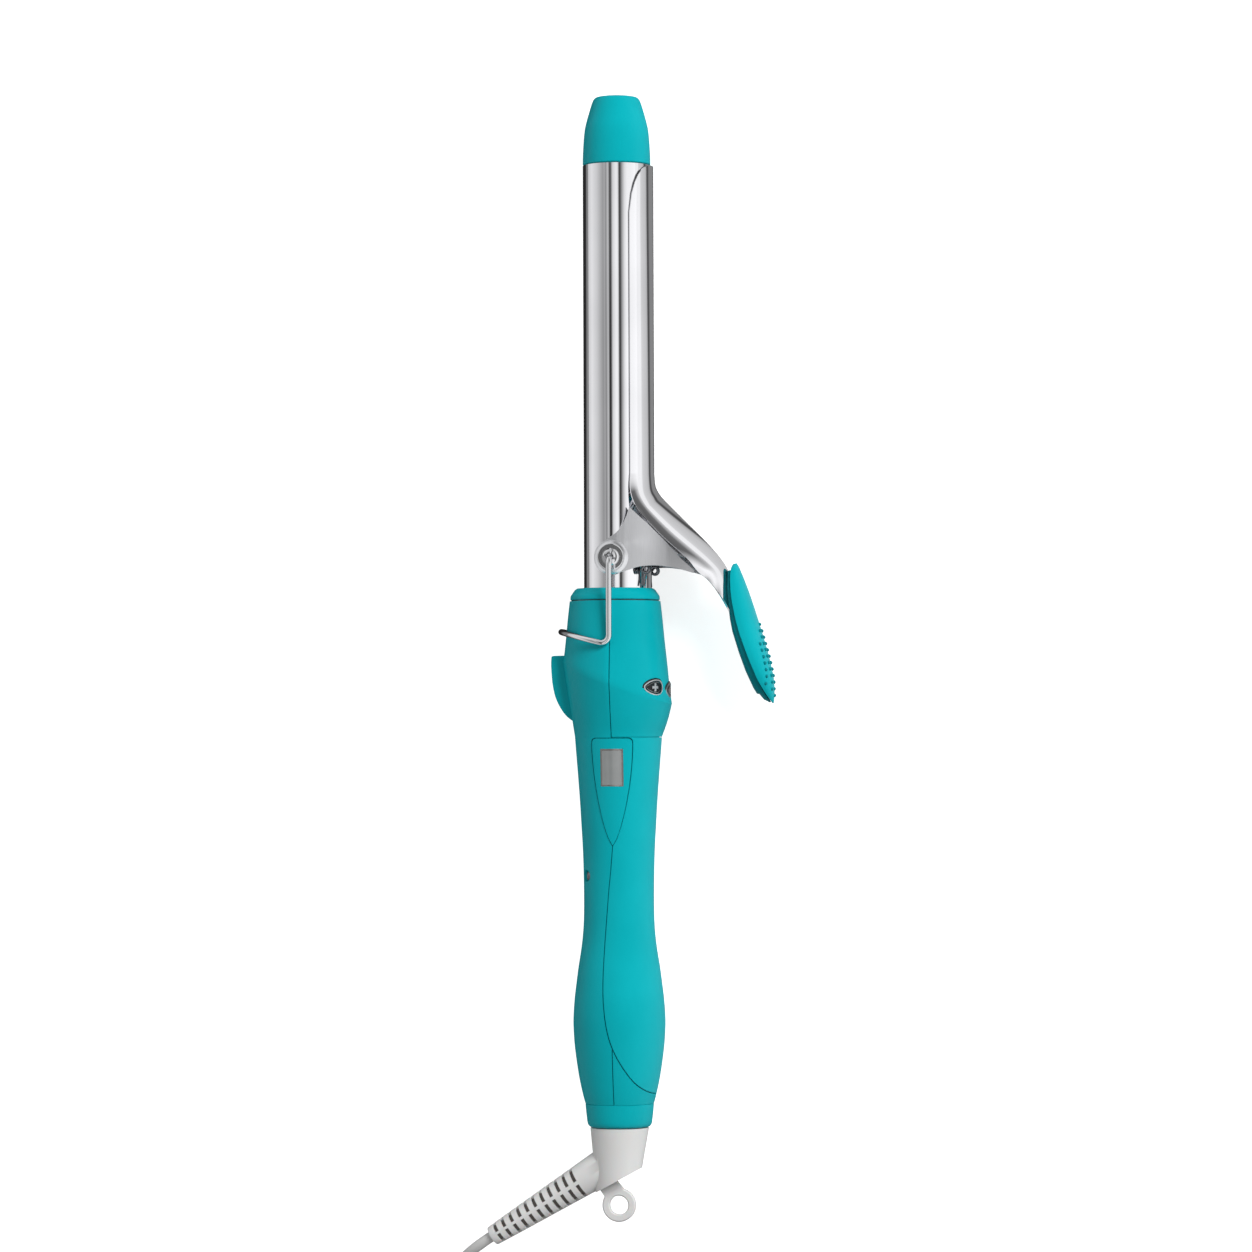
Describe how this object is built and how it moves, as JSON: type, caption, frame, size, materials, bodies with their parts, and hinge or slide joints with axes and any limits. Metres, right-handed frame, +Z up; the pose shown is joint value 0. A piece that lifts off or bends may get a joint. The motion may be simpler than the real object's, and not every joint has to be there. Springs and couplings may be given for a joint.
{
  "type": "curling iron",
  "caption": "Curling iron with a chromed barrel, sprung clip with thumb pad, wire stand, waisted grip with display and buttons, swivel cord boot and coiled cord.",
  "frame": {"origin": "on the table under the middle of the iron as it lies on its tip cap, stand and clip bracket, cord not counted", "axes": "+Y towards the tip, nearly along the barrel; +X towards the thumb lever; +Z up, the side that carries the display"},
  "size_m": [0.1621, 0.5214, 0.0504],
  "materials": {
    "chrome_barrel": "polished chrome plate",
    "chrome_clip": "polished chrome plate on pressed steel",
    "satin_steel": "brushed stainless sheet",
    "bright_wire": "plated steel wire and screws",
    "spring_steel": "dark spring steel",
    "teal_plastic": "fine matt moulded ABS",
    "teal_soft": "soft-touch coated ABS",
    "teal_dark": "fine matt moulded ABS",
    "display_glass": "grey display window",
    "dark_plastic": "heat-proof phenolic",
    "white_pvc": "white soft PVC",
    "cord_pvc": "grey-white PVC cord",
    "button_chrome": "chromed button cap",
    "trim_dark": "dark trim ring",
    "aluminium": "extruded",
    "ceramic": "fired ceramic",
    "circuit_board": "solder mask green",
    "brass": "turned",
    "lead_red": "silicone sleeve"
  },
  "bodies": {
    "root": {"barrel_tube": "chrome_barrel", "tip_cap": "teal_plastic", "tip_insulator": "ceramic", "heater_carrier_front": "aluminium", "heater_carrier_back": "aluminium", "heater_plate": "ceramic", "thermistor": "brass", "thermal_fuse": "aluminium", "barrel_base": "dark_plastic", "collar": "teal_plastic", "pivot_screws": "bright_wire", "pivot_washers": "bright_wire", "clip_springs": "spring_steel", "handle_shell_left": "teal_plastic", "handle_shell_right": "teal_plastic", "grip_panel": "teal_soft", "display_bezel": "teal_plastic", "display_window": "display_glass", "display_module": "dark_plastic", "main_board": "circuit_board", "control_board": "circuit_board", "tact_switches": "dark_plastic", "button_trims": "trim_dark", "shell_screws": "bright_wire", "end_collar": "teal_plastic", "swivel_socket": "dark_plastic", "brush_contacts": "brass", "mains_leads": "lead_red", "heater_leads": "lead_red"},
    "clip": {"clip_blade": "chrome_clip", "clip_bracket": "satin_steel", "pad_cover": "teal_plastic", "pad_base": "teal_dark", "pad_screws": "bright_wire"},
    "stand": {"stand_wire": "bright_wire"},
    "swivel": {"cord_boot": "white_pvc", "hang_loop": "white_pvc", "swivel_spindle": "white_pvc", "slip_rings": "brass", "cord_tail": "cord_pvc", "cord_coil": "cord_pvc", "cord_tie": "white_pvc", "plug_body": "white_pvc", "plug_blades": "brass"},
    "plus_key": {"button_plus": "button_chrome"},
    "power_key": {"button_power": "button_chrome"},
    "minus_key": {"button_minus": "button_chrome"}
  },
  "joints": [
    {"name": "clip_hinge", "type": "hinge", "parent": "root", "child": "clip", "pos_m": [-0.00415, 0.04067, 0.02088], "axis": [-0.2506, -0.0544, -0.9666], "range_deg": [0, 22], "stiffness_Nm_per_rad": 0.35, "springref_deg": -34.38, "deforming": ["clip_springs"]},
    {"name": "stand_hinge", "type": "hinge", "parent": "root", "child": "stand", "pos_m": [-0.00415, 0.04067, 0.02088], "axis": [-0.2506, -0.0544, -0.9666], "range_deg": [0, 100]},
    {"name": "cord_swivel", "type": "hinge", "parent": "root", "child": "swivel", "pos_m": [-0.00415, -0.16391, 0.03238], "axis": [0, 0.9984, -0.0561], "continuous": true},
    {"name": "plus_press", "type": "slide", "parent": "root", "child": "plus_key", "axis": [-0.9538, -0.0169, -0.3], "range_m": [0, 0.0006], "stiffness_N_per_m": 900, "springref_m": -0.001},
    {"name": "power_press", "type": "slide", "parent": "root", "child": "power_key", "axis": [-0.9681, 0.0141, 0.2502], "range_m": [0, 0.0006], "stiffness_N_per_m": 900, "springref_m": -0.001},
    {"name": "minus_press", "type": "slide", "parent": "root", "child": "minus_key", "axis": [-0.6882, 0.0407, 0.7244], "range_m": [0, 0.0006], "stiffness_N_per_m": 900, "springref_m": -0.001}
  ]
}
